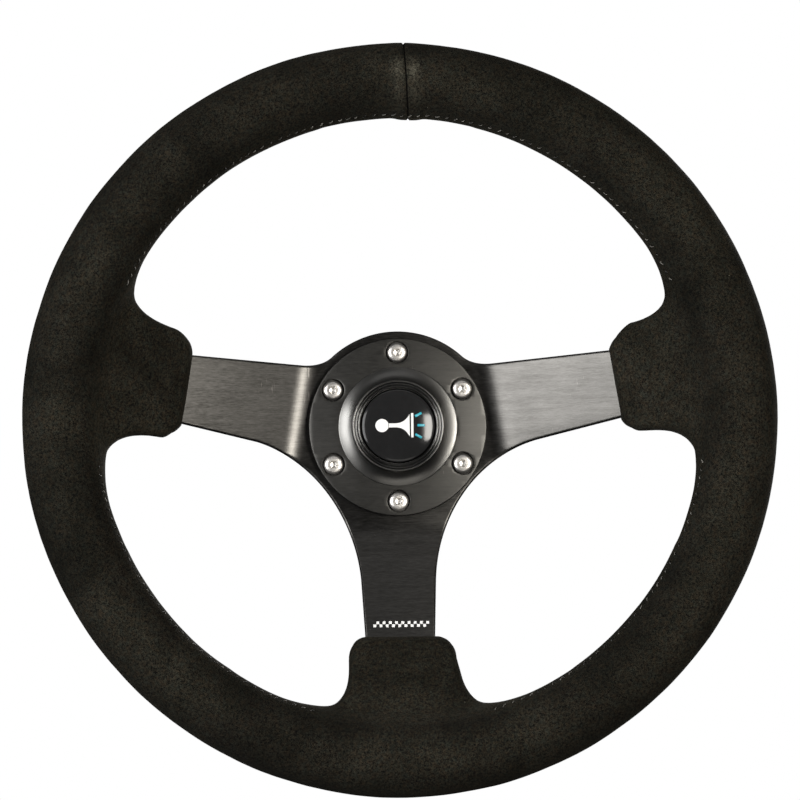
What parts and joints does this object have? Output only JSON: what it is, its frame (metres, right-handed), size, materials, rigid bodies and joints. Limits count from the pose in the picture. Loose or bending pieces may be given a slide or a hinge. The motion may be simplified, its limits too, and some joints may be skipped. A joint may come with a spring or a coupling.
{
  "type": "quick release steering wheel",
  "caption": "Deep-dish three-spoke motorsport steering wheel with suede grip, horn push and ball-lock quick release hub.",
  "frame": {"origin": "centre of the back face of the column flange, on the turning axis of the wheel", "axes": "+Y along the turning axis, from the driver towards the steering column; +Z is twelve o'clock and +X is the driver's right"},
  "size_m": [0.35, 0.1265, 0.35],
  "materials": {
    "black_anodised": "satin",
    "satin_ring": "satin",
    "suede": "matte",
    "foam": "matte",
    "steel": "satin",
    "screw_steel": "polished",
    "spring_steel": "satin",
    "machined_aluminium": "satin",
    "gloss_black": "gloss",
    "black_plastic": "matte",
    "brass": "satin"
  },
  "bodies": {
    "column": {"column_hub": "steel", "column_insulator": "black_plastic", "column_contact": "brass"},
    "wheel": {"spoke_plate": "black_anodised", "rim_hoop": "steel", "rim_foam": "foam", "spoke_pad_left": "foam", "spoke_pad_right": "foam", "spoke_pad_lower": "foam", "suede_left": "suede", "suede_right": "suede", "horn_ring": "satin_ring", "horn_screw_1": "screw_steel", "horn_screw_2": "screw_steel", "horn_screw_3": "screw_steel", "horn_screw_4": "screw_steel", "horn_screw_5": "screw_steel", "horn_screw_6": "screw_steel", "horn_bezel": "black_anodised", "horn_trim_ring": "satin_ring", "horn_cup": "black_plastic", "horn_return_spring": "spring_steel", "horn_fixed_contact": "brass", "horn_terminal_1": "brass", "horn_terminal_2": "brass", "adaptor_body": "machined_aluminium", "collar_spring": "spring_steel", "collar_clip": "spring_steel", "contact_holder": "black_plastic", "wheel_contact": "brass"},
    "horn_button": {"horn_cap": "gloss_black", "horn_moving_contact": "brass"},
    "collar": {"release_collar": "black_anodised"},
    "ball_1": {"locking_ball_1": "steel"},
    "ball_2": {"locking_ball_2": "steel"},
    "ball_3": {"locking_ball_3": "steel"},
    "ball_4": {"locking_ball_4": "steel"},
    "ball_5": {"locking_ball_5": "steel"},
    "ball_6": {"locking_ball_6": "steel"}
  },
  "joints": [
    {"name": "wheel_off", "type": "slide", "parent": "column", "child": "wheel", "axis": [0, -1, 0], "range_m": [0, 0.045]},
    {"name": "horn_push", "type": "slide", "parent": "wheel", "child": "horn_button", "axis": [0, 1, 0], "range_m": [0, 0.0025], "stiffness_N_per_m": 1500, "springref_m": -0.002, "deforming": ["horn_return_spring"]},
    {"name": "collar_slide", "type": "slide", "parent": "wheel", "child": "collar", "axis": [0, 1, 0], "range_m": [0, 0.006], "deforming": ["collar_spring"]},
    {"name": "ball_1_slide", "type": "slide", "parent": "wheel", "child": "ball_1", "axis": [0, 0, -1], "range_m": [0, 0.0023]},
    {"name": "ball_2_slide", "type": "slide", "parent": "wheel", "child": "ball_2", "axis": [0.866, 0, -0.5], "range_m": [0, 0.0023]},
    {"name": "ball_3_slide", "type": "slide", "parent": "wheel", "child": "ball_3", "axis": [0.866, 0, 0.5], "range_m": [0, 0.0023]},
    {"name": "ball_4_slide", "type": "slide", "parent": "wheel", "child": "ball_4", "axis": [0, 0, 1], "range_m": [0, 0.0023]},
    {"name": "ball_5_slide", "type": "slide", "parent": "wheel", "child": "ball_5", "axis": [-0.866, 0, 0.5], "range_m": [0, 0.0023]},
    {"name": "ball_6_slide", "type": "slide", "parent": "wheel", "child": "ball_6", "axis": [-0.866, 0, -0.5], "range_m": [0, 0.0023]}
  ],
  "couplings": [
    {"joint": "ball_1_slide", "follows": "collar_slide", "ratio": 0.3833},
    {"joint": "ball_2_slide", "follows": "collar_slide", "ratio": 0.3833},
    {"joint": "ball_3_slide", "follows": "collar_slide", "ratio": 0.3833},
    {"joint": "ball_4_slide", "follows": "collar_slide", "ratio": 0.3833},
    {"joint": "ball_5_slide", "follows": "collar_slide", "ratio": 0.3833},
    {"joint": "ball_6_slide", "follows": "collar_slide", "ratio": 0.3833}
  ]
}
